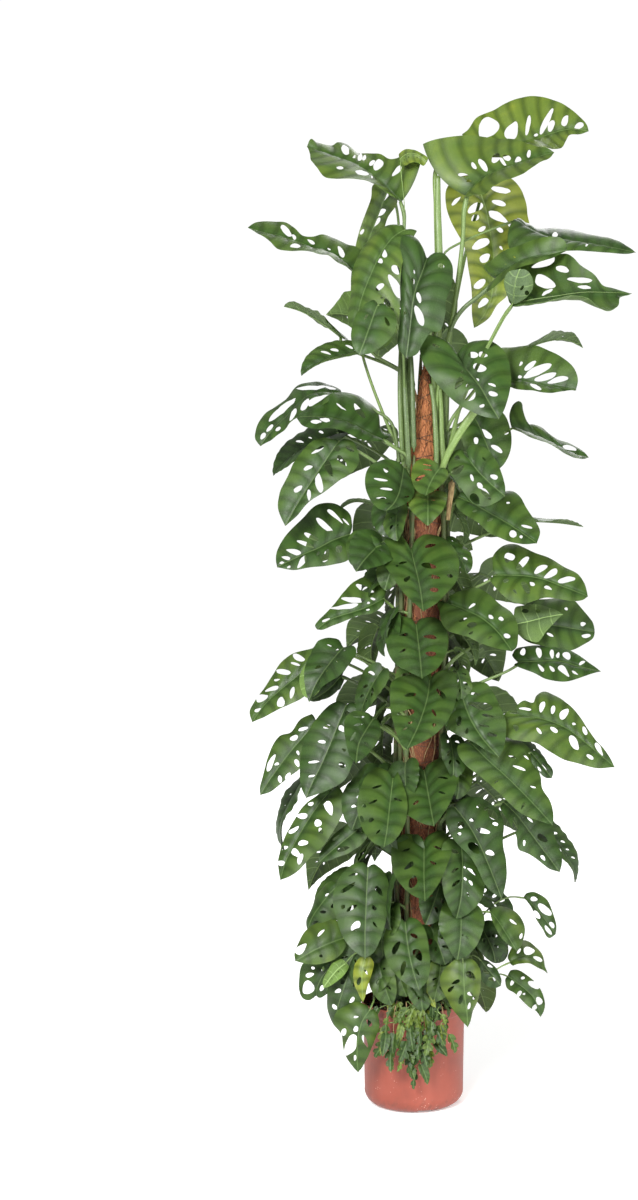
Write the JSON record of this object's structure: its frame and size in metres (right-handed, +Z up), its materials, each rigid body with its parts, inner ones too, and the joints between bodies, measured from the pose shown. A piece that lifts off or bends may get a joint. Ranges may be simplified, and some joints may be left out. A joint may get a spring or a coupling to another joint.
{
  "type": "potted climbing houseplant on a coir pole",
  "caption": "Swiss cheese vine with pierced heart-shaped leaves climbing a coir pole, standing in a round plastic nursery pot.",
  "frame": {"origin": "centre of the pot's flat base, on the surface that the pot stands on", "axes": "+Z up along the pot's axis, -Y towards the front of the plant, +X to its right as seen from the front"},
  "size_m": [0.6969, 0.4008, 1.7944],
  "materials": {
    "pot": "terracotta-coloured injection-moulded polypropylene, matt, slightly dusty, with soil marks low down",
    "soil": "moist near-black potting soil, crumbly and dull",
    "stake": "plain turned softwood stake, unfinished",
    "coir": "loose orange-brown coconut fibre wound round with thread, dull",
    "foliage": "mature dark green leaves with a waxy satin surface, paler veins and pale grey-green undersides",
    "young_foliage": "younger mid-green leaves with a waxy satin surface"
  },
  "bodies": {
    "root": {"pot": "pot", "soil": "soil", "pole_stake": "stake", "coir_sleeve": "coir", "stem_right_tall": "foliage", "stem_left_tall": "foliage", "stem_front": "foliage", "stem_right_low": "foliage", "stem_left_low": "foliage", "stem_back_left": "foliage", "stem_back_right": "foliage", "shoot_left": "young_foliage", "shoot_right": "young_foliage", "shoot_front": "young_foliage", "shoot_back": "young_foliage", "spray_left": "young_foliage", "spray_right": "young_foliage"}
  },
  "joints": []
}
